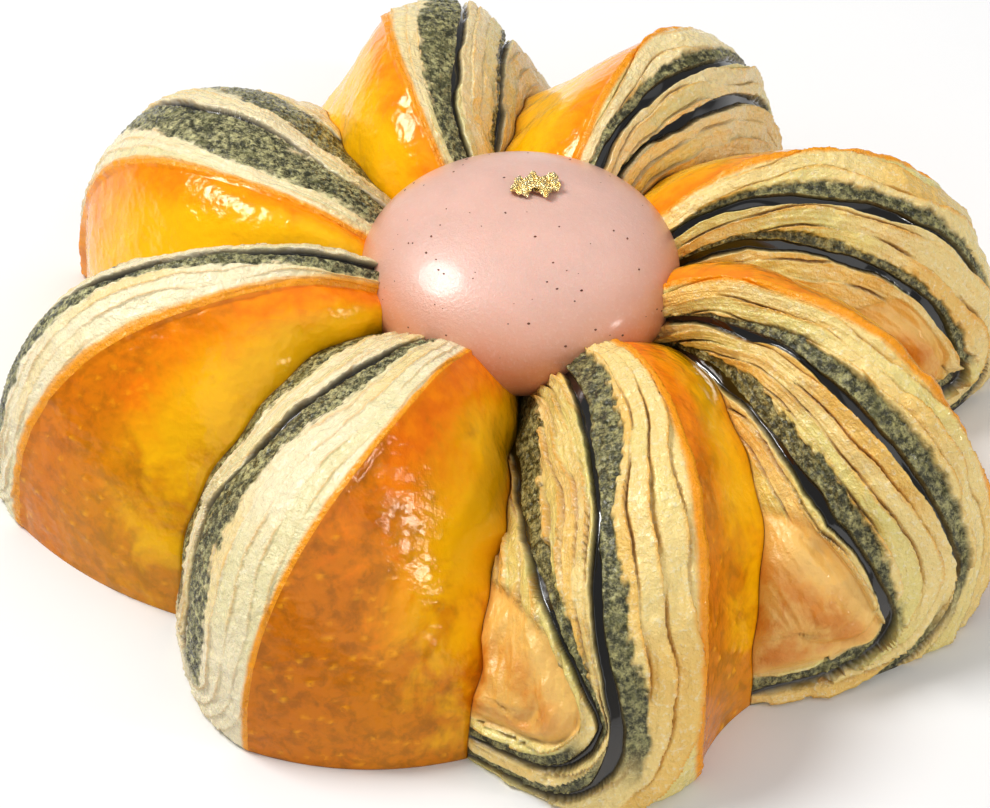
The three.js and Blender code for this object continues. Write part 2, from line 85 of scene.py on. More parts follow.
# The petals clockwise from the left rear, as the solids have them. fold_round
# is how far in the layers turn sharply at the fold, and flap where, as a share
# of the petal's length, the folded-under end starts to show. white is how pale
# its plain dough is, flaky how far its ledges stand open, and browned how dark
# its end is baked.
PETALS = [
    dict(crest=(173, 156), reach=62.8, top=30.6, valley=(187, 171.5), valley_reach=53.0,
         valley_top=26.5, skin_swell=(1.5, 0.3), cut_swell=(1.9, 7.0), core=(20, 31, 26),
         fold_round=1.0, white=0.9, flap=0.95, flaky=0.1, browned=0.15,
         bands=((.12, .40, .68, .90), (.09, .41, .56, .85), (.11, .30, .47, .80),
                (.16, .33, .52, .82), (.20, .36, .60, .85), (.20, .36, .60, .80))),
    dict(crest=(122, 107), reach=62.2, top=31.0, valley=(138, 115.5), valley_reach=58.2,
         valley_top=22.2, skin_swell=(1.5, 0.2), cut_swell=(2.2, 6.8), core=(16, 21, 17),
         fold_round=1.0, white=0.6, flap=0.95, flaky=0.2, browned=0.1,
         bands=((.10, .28, .70, .81), (.14, .38, .72, .79), (.16, .41, .71, .77),
                (.18, .42, .72, .79), (.20, .44, .76, .82), (.20, .44, .76, .82))),
    dict(crest=(68.5, 65), reach=59.8, top=31.2, valley=(97, 82.5), valley_reach=57.0,
         valley_top=19.2, skin_swell=(1.3, -0.2), cut_swell=(2.0, 5.8), core=(10, 13, 11),
         fold_round=1.0, white=0.55, flap=0.95, flaky=0.6, browned=0.15,
         bands=((.17, .32, .60, .65), (.30, .45, .84, .885), (.41, .57, .94, .98),
                (.45, .58, .95, 1.0), (.42, .54, .90, .96), (.42, .54, .90, .96))),
    dict(crest=(20.5, 17.5), reach=60.6, top=32.6, valley=(49, 46.5), valley_reach=48.6,
         valley_top=21.2, skin_swell=(1.2, 0.8), cut_swell=(2.0, 4.9), core=(10, 14.5, 15),
         fold_round=1.2, white=0.2, flap=0.68, flaky=0.85, browned=0.4,
         bands=((.27, .34, .66, .75), (.29, .46, .745, .88), (.40, .56, .92, 1.04),
                (.46, .57, 1.02, 1.10), (.42, .52, 1.02, 1.13), (.42, .50, .85, .92))),
    dict(crest=(-23.5, -28), reach=62.5, top=33.4, valley=(1, -4), valley_reach=51.2,
         valley_top=22.2, skin_swell=(2.1, 0.7), cut_swell=(1.1, 4.8), core=(12, 21, 20),
         fold_round=1.4, white=0.15, flap=0.70, flaky=1.0, browned=0.5,
         bands=((.33, .385, .60, .70), (.23, .335, .57, .71), (.255, .395, .68, .82),
                (.265, .43, .80, .95), (.25, .345, .82, .89), (.25, .345, .66, .72))),
    dict(crest=(-54.5, -70.5), reach=62.4, top=30.2, valley=(-29.5, -65.5), valley_reach=55.5,
         valley_top=22.2, skin_swell=(0.6, -0.9), cut_swell=(3.1, 6.5), core=(17, 24, 13),
         fold_round=1.4, white=0.15, flap=0.68, flaky=0.75, browned=0.85,
         bands=((.20, .395, .665, .97), (.24, .415, .745, .93), (.34, .425, .70, .85),
                (.35, .52, .665, .78), (.35, .56, .63, .68), (.35, .57, .78, .86))),
    dict(crest=(-107, -118), reach=63.8, top=31.5, valley=(-91, -96.5), valley_reach=57.2,
         valley_top=16.6, skin_swell=(1.6, 2.2), cut_swell=(1.2, 2.6), core=(18, 31, 27),
         fold_round=1.0, white=1.0, flap=0.95, flaky=0.1, browned=0.9,
         bands=((.22, .30, .60, .80), (.265, .405, .60, .80), (.37, .50, .66, .84),
                (.38, .64, .75, .88), (.31, .54, .70, .86), (.31, .54, .70, .86))),
    dict(crest=(-153.5, -161), reach=63.5, top=32.2, valley=(-147, -138), valley_reach=53.2,
         valley_top=25.5, skin_swell=(1.6, 1.5), cut_swell=(3.6, 6.8), core=(12, 24, 28),
         fold_round=1.0, white=1.0, flap=0.95, flaky=0.08, browned=0.75,
         bands=((.05, .16, .36, .60), (.165, .27, .40, .60), (.23, .28, .40, .60),
                (.21, .40, .55, .70), (.13, .45, .62, .78), (.13, .45, .62, .78))),
]

# Each petal's bands give, at these shares of its length, how far in from the
# skin its first porous band, its first dark sheet, its second porous band and
# its second dark sheet start, as shares of the way to the fold's core. They
# are evened out to the same four values for every petal.
BAND_STATIONS = (0.2, 0.4, 0.55, 0.7, 0.86, 0.94)
EVEN_BANDS = (0.27, 0.405, 0.72, 0.855)
FLAP_RIM = (1.3, 3.2)  # width of the strip beside the flap, on top and in the fold
FLAP_CORNER = 5.0
FLAP_SLANT = 0.35  # how much farther out the flap starts near the crest
FLAP_SLANT_FROM = 0.7
FLAP_STARTS, FLAP_SWELLS = 0.03, 0.2  # over these shares of the petal's length
MOUND = 4.0  # how far in from its rim the flap keeps rising
SEAM_WANDER = 0.35
INNER_CRUMB = 2.4  # width of the porous band beside a sheet, in the fold
CUT_FADE, SKIN_FADE = 24, 12  # powers with which relief fades towards a valley
SUNK = 0.6  # how deep in the dome the petals' inner ends may lie

# Each flake's middle, its half widths and the seed of its folds.
GOLD_FLECKS = {
    "gold_leaf_left": (0.7, 2.7, 1.5, 2.3, 11),
    "gold_leaf_right": (3.3, 2.9, 1.4, 2.3, 29),
}
FOIL_CRUMPLE = 0.6
FOIL_FOLDS = 7
FOIL_HOVER = 0.75
FOIL_THICKNESS = 0.12
SPECKS = {"Count per m2": 45000.0, "Least Size": 0.06 * MM, "Most Size": 0.2 * MM}
SPECK_SEED = 5
DOUGH_SIZES = ("Ledge Height", "Ledge Spacing", "Crumb Depth", "Crumb Size", "Groove Depth",
               "Flap Height", "Skin Waves")

# ---- mesh density ----

ALONG = 260
SKIN_ROWS = 40
CUT_ROWS = 240
CLIMB_POINTS, FALL_POINTS = 120, 280
DOME_RINGS, DOME_SEGMENTS = 72, 144
FOIL_RINGS, FOIL_SEGMENTS = 14, 40
SEAM = 0.03  # half the visible gap between two petals

# ---- stage, in metres ----

FLOOR_HALF = 1.5
CAMERA_AIM = (-0.003, -0.014, 0.015)
LIGHT_TARGET = (0.0, 0.0, 0.020)
# Each light's direction from the pastry, its distance, its width and its power.
# The power of the main light is one of the settings.
LIGHTS = {
    "key": ((-0.55, 0.2, 0.81), 0.7, 0.28, None),
    "top": ((0.25, 0.1, 0.95), 0.8, 1.0, 0.9),
    "front": ((0.35, -0.8, 0.5), 0.9, 1.0, 1.6),
    "side": ((0.86, -0.3, 0.4), 0.8, 0.1, 0.6),
}
WORLD_STRENGTH, EXPOSURE, GAMMA = 0.28, 0.4, 0.8


# ---- curves of the petals ----

def smooth(x):
    t = np.clip(x, 0.0, 1.0)
    return t * t * (3.0 - 2.0 * t)


def side_profile(shape, top, reach):
    """Radius and height of a crest or valley: a climb, then a quarter of a superellipse."""
    climb = np.linspace(0, 1, CLIMB_POINTS, endpoint=False)
    fall = np.linspace(0, math.pi / 2, FALL_POINTS)
    power = 2.0 / shape["squareness"]
    start, top_r = shape["start_z"], shape["top_r"]
    radius = np.concatenate([
        INNER_R + (top_r - INNER_R) * climb,
        top_r + (reach - top_r) * np.sin(fall) ** power,
    ])
    height = np.concatenate([
        start + (top - start) * np.sin(climb * math.pi / 2),
        top * np.clip(np.cos(fall), 0, 1) ** power,
    ])
    return radius, height


def even_curve(azimuths, shape, top, reach):
    """Evenly spaced points from the nest to the ground."""
    radius, height = side_profile(shape, top, reach)
    travelled = np.concatenate([[0], np.cumsum(np.hypot(np.diff(radius), np.diff(height)))])
    goal = np.linspace(0, travelled[-1], ALONG + 1)
    r = np.interp(goal, travelled, radius)
    z = np.interp(goal, travelled, height)
    z[-1] = 0.0
    turn = (r - TURN_FROM_R) / (TURN_TO_R - TURN_FROM_R)
    turn = np.clip(turn, TURN_LEAST, TURN_MOST)
    azimuth = np.radians(azimuths[0] + (azimuths[1] - azimuths[0]) * turn)
    return np.stack([r * np.cos(azimuth), r * np.sin(azimuth), z], axis=1)


def crest_of(petal):
    return even_curve(petal["crest"], CREST, petal["top"], petal["reach"])


def valley_of(petal):
    """The valley's points; the pressed seam wanders a little from side to side."""
    points = even_curve(petal["valley"], VALLEY, petal["valley_top"], petal["valley_reach"])
    phase = petal["reach"] * 7.0
    wander = np.sin(STEPS * 17 + phase) + 0.6 * np.sin(STEPS * 41 + 2 * phase)
    return sidestep(points, SEAM_WANDER * wander * smooth(STEPS * 4) * smooth((1 - STEPS) * 6))


def sidestep(points, distance):
    """Moves a valley sideways, anticlockwise for a positive distance."""
    r = np.hypot(points[:, 0], points[:, 1])
    moved = points.copy()
    moved[:, 0] -= points[:, 1] / r * distance
    moved[:, 1] += points[:, 0] / r * distance
    return moved


# ---- faces of the petals ----

STEPS = np.linspace(0, 1, ALONG + 1)
OUTWARD = smooth((STEPS - SWELL_FROM) / SWELL_OVER)
SHAPED = smooth(STEPS / FADE_SHARE)


def swelling_face(crest, valley, swell, shares, bulge, side):
    """A face from crest to valley that bulges by swell, and its outward normals."""
    along = np.gradient(crest + valley, axis=0)
    normal = np.cross(valley - crest, along) * side
    normal /= np.linalg.norm(normal, axis=1, keepdims=True)
    size = (swell[0] + (swell[1] - swell[0]) * OUTWARD) * SHAPED
    s = shares[None, :, None]
    points = crest[:, None] * (1 - s) + valley[:, None] * s
    return points + (size[:, None] * bulge[None, :])[..., None] * normal[:, None]


def core_depth(petal):
    """How far in from the crest the fold's core lies."""
    near, middle, far = petal["core"]
    early = near + (middle - near) * smooth(2 * STEPS)
    late = middle + (far - middle) * smooth(2 * STEPS - 1)
    return np.where(STEPS < 0.5, early, late)


def layer_field(petal, from_crest, length):
    """Where each point of a cut face lies in the stack of layers.

    Gives the share of the way to the fold's core, the turn round the fold
    from 0 to 1, the distance along the layers, the core's depth and the
    distance from the foot.
    """
    core = core_depth(petal)[:, None]
    from_foot = ((1 - STEPS) * length)[:, None] + 0 * from_crest
    bend = petal["fold_round"]
    across = bend - from_crest / core
    down = bend - (from_foot + FOLD_HIDDEN) / FOLD_HEIGHT
    beyond = np.clip(np.minimum(-across, -down), 0, None)
    across, down = np.clip(across, 0, None), np.clip(down, 0, None)
    share = np.clip(bend - np.hypot(across, down), 0, None) + beyond
    turned = np.arctan2(down, across + 1e-6) / (math.pi / 2)
    turn_from = FOLD_HEIGHT * bend - FOLD_HIDDEN
    along = length - np.maximum(from_foot, turn_from) + turned * FOLD_HEIGHT
    along = along + np.clip(from_crest / core - bend, 0, None) * core * (down > 0)
    return share, turned, along, core + (FOLD_HEIGHT - core) * turned, from_foot


def even_layers(petal, share, pitch):
    """Layer shares with this petal's bands evened out, and the distance to a dark sheet."""
    knots = [np.interp(STEPS, BAND_STATIONS, column) for column in zip(*petal["bands"])]
    even = np.empty_like(share)
    for i, row in enumerate(share):
        known = [0.0] + [knot[i] for knot in knots] + [knots[3][i] + 1.0]
        even[i] = np.interp(row, known, (0.0,) + EVEN_BANDS + (EVEN_BANDS[3] + 1.0,))
    first = (share - knots[1][:, None]) * pitch
    second = (share - knots[3][:, None]) * pitch
    return even, np.where(np.abs(first) < np.abs(second), first, second)


def flap_field(petal, from_crest, from_foot, cut_share):
    """Distance in from the rim of the folded-under end, and how far it is on show."""
    near_sheet = np.interp(STEPS, BAND_STATIONS, [band[3] for band in petal["bands"]])[:, None]
    side = from_crest - near_sheet * core_depth(petal)[:, None] - FLAP_RIM[0]
    foot = from_foot - (petal["bands"][-1][3] * FOLD_HEIGHT - FOLD_HIDDEN) - FLAP_RIM[1]
    inside = FLAP_CORNER - np.hypot(np.clip(FLAP_CORNER - side, 0, None),
                                    np.clip(FLAP_CORNER - foot, 0, None))
    start = petal["flap"] - FLAP_SLANT * (cut_share[None, :] - FLAP_SLANT_FROM)
    shown = smooth((STEPS[:, None] - start) / FLAP_STARTS)
    return inside, shown, shown * smooth((STEPS[:, None] - start) / FLAP_SWELLS)


def petal_grid(number):
    """Points and attributes of one petal's top, row by row from valley to valley."""
    petal = PETALS[number]
    after = PETALS[(number + 1) % len(PETALS)]
    crest = crest_of(petal)
    left = sidestep(valley_of(petal), -SEAM)
    right = sidestep(valley_of(after), SEAM)
    length = np.linalg.norm(np.diff(crest, axis=0), axis=1).sum()

    skin_share = np.linspace(1, 0, SKIN_ROWS + 1)[:-1]
    cut_share = np.linspace(0, 1, CUT_ROWS + 1)
    skin_bulge = 4 * skin_share * (1 - skin_share)
    cut_bulge = np.sin(math.pi * cut_share ** CUT_LEAN)
    skin = swelling_face(crest, left, petal["skin_swell"], skin_share, skin_bulge, -1)
    cut = swelling_face(crest, right, petal["cut_swell"], cut_share, cut_bulge, 1)

    width = np.linalg.norm(right - crest, axis=1)[:, None]
    from_crest = cut_share[None, :] * width
    share, turned, along, pitch, from_foot = layer_field(petal, from_crest, length)
    share, gap = even_layers(petal, share, pitch)
    inside, shown, swollen = flap_field(petal, from_crest, from_foot, cut_share)
    skin_width = np.linalg.norm(left - crest, axis=1)[:, None]
    at_ends = SHAPED[:, None] * np.clip((1 - STEPS[:, None]) * ALONG / 2, 0, 1)

    # The skin lies outside the layers and far from every dark sheet.
    points = sunk_under_dome(np.concatenate([skin, cut], axis=1))
    return points, {
        "layer": both(-1.0, share),
        "gap": both(9.0, gap),
        "turned": both(0.0, turned),
        "cut": both(0.0, at_ends * (1 - cut_share ** CUT_FADE)),
        "skin": both(at_ends * (1 - skin_share ** SKIN_FADE), 0.0),
        "flap": both(0.0, shown * smooth(inside / 0.4)),
        "mound": both(0.0, swollen * np.sqrt(np.clip(inside / MOUND, 0, 1))),
        "flow_along": both(STEPS[:, None] * length, along),
        "flow_across": both(skin_share * skin_width, share * pitch),
        "outward": both(STEPS[:, None], STEPS[:, None]),
        "hollow": both(skin_share, cut_share),
        "from_crest": both(0.0, from_crest),
    }


def both(on_skin, on_cut):
    """A value for each point of a petal's top, from those of its two faces."""
    return np.concatenate([np.broadcast_to(on_skin, (ALONG + 1, SKIN_ROWS)),
                           np.broadcast_to(on_cut, (ALONG + 1, CUT_ROWS + 1))], axis=1)


def sunk_under_dome(points):
    """Lowers the points that would lie well inside the dome to its underside."""
    x, y, z = points[..., 0], points[..., 1] - DOME_Y, points[..., 2]
    wide = (x * x + y * y) / (DOME_RADIUS - SUNK) ** 2
    tall = np.where(z > DOME_Z, DOME_ABOVE, DOME_BELOW) - SUNK
    inside = wide + ((z - DOME_Z) / tall) ** 2 < 1
    floor = DOME_Z - (DOME_BELOW - SUNK) * np.sqrt(np.clip(1 - wide, 0, 1))
    lowered = points.copy()
    lowered[..., 2] = np.where(inside, np.minimum(z, floor), z)
    return lowered


def petal_faces(points):
    """Vertices and faces of a closed petal: top, walls, root and underside."""
    steps, rows = points.shape[:2]
    index = np.arange(steps * rows).reshape(steps, rows)
    faces = np.stack([index[:-1, :-1], index[:-1, 1:], index[1:, 1:], index[1:, :-1]], axis=2)
    faces = faces.reshape(-1, 4).tolist()
    ground = points[:-1, [0, -1]].copy()
    ground[..., 2] = 0
    first = steps * rows
    left = [first + 2 * i for i in range(steps - 1)] + [int(index[-1, 0])]
    right = [first + 2 * i + 1 for i in range(steps - 1)] + [int(index[-1, -1])]
    for i in range(steps - 1):
        a, b = int(index[i, 0]), int(index[i + 1, 0])
        faces.append([a, b, left[i + 1], left[i]] if i < steps - 2 else [a, b, left[i]])
        a, b = int(index[i, -1]), int(index[i + 1, -1])
        faces.append([b, a, right[i], right[i + 1]] if i < steps - 2 else [b, a, right[i]])
    middle = (points[0, 0] + points[0, -1]) / 2
    tip = middle / np.hypot(middle[0], middle[1]) * TIP_R
    tip[2] = 0
    tip_index = first + 2 * (steps - 1)
    inner = [left[0]] + index[0].tolist() + [right[0]]
    for a, b in zip(inner, inner[1:]):
        faces.append([b, a, tip_index])
    outline = left[:-1] + index[-1].tolist() + right[-2::-1] + [tip_index]
    faces.append(outline)
    vertices = np.concatenate([points.reshape(-1, 3), ground.reshape(-1, 3), tip[None]])
    return vertices, faces


# ---- placing in the frame ----

def flower_axis():
    """The flower's axis on the ground, in metres, found from the dome's solid."""
    low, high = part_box("gel_dome")
    middle = (low + high) / 2
    return Vector((middle.x, middle.y - DOME_Y * MM, 0))


def in_frame(points):
    """Millimetres about the flower's axis to metres in the frame."""
    axis = flower_axis()
    return np.asarray(points) * MM + np.array([axis.x, axis.y, 0])


def new_object(name, vertices, faces):
    mesh = bpy.data.meshes.new(name)
    mesh.from_pydata(vertices.tolist(), [], faces)
    mesh.shade_smooth()
    made = bpy.data.objects.new(name, mesh)
    bpy.context.scene.collection.objects.link(made)
    return made


def keep_evaluated(piece):
    """Turns the result of a piece's modifiers into its own plain mesh."""
    depsgraph = bpy.context.evaluated_depsgraph_get()
    mesh = bpy.data.meshes.new_from_object(piece.evaluated_get(depsgraph))
    piece.modifiers.clear()
    piece.data = mesh
    mesh.name = piece.name


def finish_piece(piece, slot, *nodes):
    """Puts a piece on the pastry's one body, in place of its solids."""
    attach(piece, "root")
    if nodes:
        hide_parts(*nodes)


# ---- small builders for node trees ----

class Value:
    """An output in a node tree, which is reckoned with like a number."""

    def __init__(self, node, output=0):
        self.tree, self.socket = node.id_data, node.outputs[output]

    def __add__(self, other):
        return maths("ADD", self, other)

    def __sub__(self, other):
        return maths("SUBTRACT", self, other)

    def __rsub__(self, other):
        return maths("SUBTRACT", other, self)

    def __mul__(self, other):
        return maths("MULTIPLY", self, other)

    __radd__ = __add__
    __rmul__ = __mul__


def fill(node, inputs):
    """Links or sets a node's inputs, by name or by number."""
    for key, value in inputs.items():
        if isinstance(value, Value):
            value.tree.links.new(value.socket, node.inputs[key])
        else:
            node.inputs[key].default_value = value


def add(tree, kind, inputs=None, **settings):
    """A node with its settings, and its inputs linked or set."""
    node = tree.nodes.new(kind)
    for key, value in settings.items():
        setattr(node, key, value)
    fill(node, inputs or {})
    return node


def result(tree, kind, inputs=None, output=0, **settings):
    """One output of a new node."""
    return Value(add(tree, kind, inputs, **settings), output)


def maths(operation, *values, clamp=False):
    tree = next(value.tree for value in values if isinstance(value, Value))
    return result(tree, "ShaderNodeMath", dict(enumerate(values)), operation=operation,
                  use_clamp=clamp)


def ramp(value, low, high, bottom=0.0, top=1.0):
    """A smooth step of value from bottom at low to top at high."""
    inputs = {"Value": value, "From Min": low, "From Max": high, "To Min": bottom, "To Max": top}
    return result(value.tree, "ShaderNodeMapRange", inputs, interpolation_type="SMOOTHSTEP")


def stripe(value, low, high, soft):
    """1 between low and high, with soft edges."""
    return ramp(value, low - soft, low + soft) * ramp(value, high - soft, high + soft, 1.0, 0.0)


def noise(place, scale, detail=2.0, roughness=0.5, distortion=0.0):
    return result(place.tree, "ShaderNodeTexNoise", {
        "Vector": place, "Scale": scale, "Detail": detail, "Roughness": roughness,
        "Distortion": distortion})


def streaks(flow, along, across, *details):
    """Noise that is drawn out along the layers."""
    return noise(scaled(flow, along, across, 1.0), 1.0, *details)


def cells(place, scale, feature="F1"):
    """The distance to the middle of the nearest of many small cells."""
    return result(place.tree, "ShaderNodeTexVoronoi", {"Vector": place, "Scale": scale},
                  feature=feature)


def vector_of(x, y, z):
    return result(x.tree, "ShaderNodeCombineXYZ", {"X": x, "Y": y, "Z": z})


def scaled(vector, *factors):
    return result(vector.tree, "ShaderNodeVectorMath", {0: vector, 1: factors},
                  operation="MULTIPLY")


def blend(factor, first, second):
    return result(factor.tree, "ShaderNodeMix", {0: factor, 6: first, 7: second}, 2,
                  data_type="RGBA", clamp_factor=True)


def colour(red, green, blue):
    return (red, green, blue, 1.0)


def tone(name, light=1.0):
    """A colour that the user can change, made lighter or darker."""
    chosen = getattr(bpy.context.scene.pastry_colours, name)
    return colour(*(min(value * light, 1.0) for value in chosen))


def open_tree(family, name, inputs, outputs):
    """A node group with named sockets: the tree, its inputs by name and its end node.

    An input is given as its default number or colour, or as the kind of its socket.
    """
    tree = bpy.data.node_groups.new(name, family)
    for label, value in inputs.items():
        kind = {float: "Float", tuple: "Color"}.get(type(value), value)
        socket = tree.interface.new_socket(label, in_out="INPUT", socket_type="NodeSocket" + kind)
        if kind != value:
            socket.default_value = value
    for label, kind in outputs.items():
        tree.interface.new_socket(label, in_out="OUTPUT", socket_type="NodeSocket" + kind)
    start = add(tree, "NodeGroupInput")
    return tree, {label: Value(start, label) for label in inputs}, add(tree, "NodeGroupOutput")


def built_once(name, build):
    """The node group of that name, built at its first use."""
    return bpy.data.node_groups.get(name) or build(name)


# ---- relief of the layers ----

def measured(tree, *names):
    """What the loft has left on each point of a petal."""
    return [result(tree, "GeometryNodeInputNamedAttribute", {"Name": name}, "Attribute",
                   data_type="FLOAT") for name in names]


def flap_relief(mound, place, flow, height):
    """The baked folded-under end: it swells up and is creased along the layers."""
    crease = maths("ABSOLUTE", streaks(flow, 0.05, 0.16, 1.5, 0.5, 0.8) - 0.5)
    fold = crease + streaks(flow, 0.12, 0.5, 3.0, 0.6) * 0.35
    return mound * height + 0.9 - fold * 4.0 + (noise(place, 0.22) - 0.5) * 1.6


def skin_relief(place, blister):
    """Waves, dimples, wrinkles and blisters of the glazed skin."""
    return ((noise(place, 0.09) - 0.5) * 2.5 + (noise(place, 0.45) - 0.5) * 0.8
            + (noise(place, 1.1) - 0.5) * 0.35 + blister * 0.3)


def relief_tree(name):
    """Raises pale layers in ledges, pits the porous bands and sinks the dark sheets."""
    tree, given, end = open_tree("GeometryNodeTree", name, {
        "Geometry": "Geometry", "Seed": 0.0, **dict.fromkeys(DOUGH_SIZES, 1.0),
        "Least Sheet": 0.35, "Most Sheet": 0.75, "Flakiness": 0.5, "Whiteness": 0.5,
        "Skin": "Material", "Cut Face": "Material", "Base": "Material",
    }, {"Geometry": "Geometry"})
    layer, gap, turned, cut, skin, flap, mound, outward, along, across, surface = measured(
        tree, "layer", "gap", "turned", "cut", "skin", "flap", "mound", "outward", "flow_along",
        "flow_across", "surface")
    seed, flaky = given["Seed"], given["Flakiness"]
    flow = vector_of(along, across, seed * 17.0)
    place = scaled(result(tree, "GeometryNodeInputPosition"), *PER_MM)

    # The bands wander a little, and their borders are ragged.
    ragged = streaks(flow, 0.55, 0.8, 3.0, 0.6)
    stray = (streaks(flow, 0.08, 0.16) - 0.5) * 1.8 + (ragged - 0.5) * 0.4
    bands = layer + (stray + (ragged - 0.5) * 2.2) * (1 / 22)
    gap = gap + stray

    # Where the dark sheets, the porous bands and the pale dough lie.
    half = ramp(streaks(flow, 0.1, 0.05, 1.0), 0.35, 0.65, given["Least Sheet"],
                given["Most Sheet"])
    sheet = ramp(maths("ABSOLUTE", gap) - half, -0.12, 0.12, 1.0, 0.0)
    on_top = ramp(turned, 0.15, 0.5, 1.0, 0.0)
    outer = (stripe(bands, EVEN_BANDS[0], EVEN_BANDS[1], 0.012)
             + stripe(bands, EVEN_BANDS[2], EVEN_BANDS[3], 0.012))
    crumb = outer * on_top + stripe(gap, 0.0, INNER_CRUMB, 0.3) * (1 - on_top)
    no_flap = 1 - flap
    sheet = maths("MULTIPLY", sheet, no_flap, clamp=True)
    not_sheet = 1 - sheet
    crumb = maths("MULTIPLY", crumb * not_sheet, no_flap, clamp=True)
    pale = maths("SUBTRACT", not_sheet * no_flap, crumb, clamp=True)

    # Sheets of pale dough: each rises to a free edge, with a slot behind it.
    count = (maths("DIVIDE", across, given["Ledge Spacing"])
             + streaks(flow, 0.04, 0.06) * 3.0 + ragged * 0.12)
    tooth, number = maths("FRACT", count), maths("FLOOR", count)
    tint = noise(vector_of(number * 3.7, along * 0.03, seed), 1.0, 1.0)
    presence = noise(vector_of(number * 5.3, along * 0.09, seed), 1.0, 1.0)
    presence = ramp(presence, 0.4, 0.6)
    edge = ramp(tooth, 0.0, 0.2, 1.0, 0.0) * (presence + 0.3)
    # The slot mask also carries a painted shadow: the cut face's material colours the slots dark
    # brown.
    slot = ramp(tooth, 0.84, 0.93) * presence * flaky
    saw = (1 - tooth) * (presence + 0.3)
    strands = streaks(flow, 0.07, 1.5, 3.0, 0.6)
    open_end = (flaky + 0.25) * (outward * 0.6 + 0.7)
    ledge = (saw + strands * 0.6 - slot * 1.1) * given["Ledge Height"] * open_end
    pale_lift = (ledge - cells(place, 0.85, "SMOOTH_F1") * 0.3 + noise(place, 0.35) * 0.8
                 + noise(place, 1.6, 2.0, 0.6) * 0.3 - 0.3)

    pits = cells(place, maths("DIVIDE", 1.0, given["Crumb Size"]), "SMOOTH_F1")
    crumb_lift = (noise(place, 1.3, 3.0, 0.7) * 3.0 - pits * 0.8) * given["Crumb Depth"] - 0.2
    flap_lift = flap_relief(mound, place, flow, given["Flap Height"])
    blister = ramp(cells(place, 0.55), 0.12, 0.3, 1.0, 0.0) * ramp(outward, 0.3, 0.8)
    lift = (pale * pale_lift + crumb * crumb_lift - sheet * given["Groove Depth"]
            + flap * flap_lift) * cut
    lift = lift + skin_relief(place, blister) * skin * given["Skin Waves"]

    geometry = given["Geometry"]
    for label, value in (("sheet", sheet), ("crumb", crumb), ("white", given["Whiteness"]),
                         ("edge", edge), ("slot", slot), ("tint", tint), ("blister", blister)):
        geometry = result(tree, "GeometryNodeStoreNamedAttribute", {
            "Geometry": geometry, "Name": label, "Value": value}, data_type="FLOAT",
            domain="POINT")
    offset = result(tree, "ShaderNodeVectorMath", {
        0: result(tree, "GeometryNodeInputNormal"), "Scale": lift * MM}, operation="SCALE")
    moved = result(tree, "GeometryNodeSetPosition", {"Geometry": geometry, "Offset": offset})
    geometry = result(tree, "GeometryNodeRealizeInstances", {"Geometry": moved})
    for number, label in enumerate(("Skin", "Cut Face", "Base")):
        chosen = result(tree, "FunctionNodeCompare", {
            "A": surface, "B": float(number), "Epsilon": 0.1}, data_type="FLOAT",
            operation="EQUAL")
        geometry = result(tree, "GeometryNodeSetMaterial", {
            "Geometry": geometry, "Selection": chosen, "Material": given[label]})
    fill(end, {"Geometry": geometry})
    return tree


def grow(piece, tree, values):
    """Runs a tree on a piece with the given inputs and keeps the result."""
    modifier = piece.modifiers.new(tree.name, "NODES")
    modifier.node_group = tree
    for item in tree.interface.items_tree:
        if item.item_type == "SOCKET" and item.in_out == "INPUT" and item.name in values:
            modifier[item.identifier] = values[item.name]
    keep_evaluated(piece)


# ---- materials ----

def open_material(name):
    """A material, its shader and the object's own place in millimetres."""
    material = bpy.data.materials.new(name)
    material.use_nodes = True
    place = result(material.node_tree, "ShaderNodeTexCoord", output="Object")
    return material, material.node_tree.nodes["Principled BSDF"], scaled(place, *PER_MM)


def painted(tree, *names):
    """What the loft and the relief have left on a petal, as a material reads it."""
    return [result(tree, "ShaderNodeAttribute", output="Fac", attribute_name=name)
            for name in names]


def bump(height, strength, distance):
    return result(height.tree, "ShaderNodeBump", {
        "Height": height, "Strength": strength, "Distance": distance * MM})


def baked_mottle(name):
    """Two bake colours in soft uneven patches."""
    tree, given, end = open_tree("ShaderNodeTree", name, {
        "Place": "Vector", "Scale": 0.3, "Low": 0.35, "High": 0.65,
        "Light": colour(0.8, 0.5, 0.1), "Dark": colour(0.5, 0.2, 0.02),
    }, {"Color": "Color", "Mask": "Float"})
    patches = noise(given["Place"], given["Scale"], 4.0, 0.62, 0.3)
    mask = ramp(patches, given["Low"], given["High"])
    fill(end, {"Color": blend(mask, given["Light"], given["Dark"]), "Mask": mask})
    return tree


def mottled(place, scale, light, dark, low=0.35, high=0.65):
    """A patchy colour, and where its dark patches are."""
    node = add(place.tree, "ShaderNodeGroup", {
        "Place": place, "Scale": scale, "Low": low, "High": high, "Light": light, "Dark": dark,
    }, node_tree=built_once("Baked mottle", baked_mottle))
    return Value(node, "Color"), Value(node, "Mask")


def wet_grain(name):
    """A coarse and a fine grain, as a height and as a mask of its high spots."""
    tree, given, end = open_tree("ShaderNodeTree", name, {
        "Place": "Vector", "Scale": 2.2, "Fine": 0.4,
    }, {"Height": "Float", "High Spots": "Float"})
    coarse = noise(given["Place"], given["Scale"], 3.0, 0.65)
    fine = noise(given["Place"], given["Scale"] * 2.6, 2.0, 0.6)
    fill(end, {"Height": coarse + fine * given["Fine"], "High Spots": ramp(coarse, 0.5, 0.75)})
    return tree


def grained(place, scale, fine):
    """A grain's height, and where its high spots are."""
    node = add(place.tree, "ShaderNodeGroup", {"Place": place, "Scale": scale, "Fine": fine},
               node_tree=built_once("Wet grain", wet_grain))
    return Value(node, "Height"), Value(node, "High Spots")


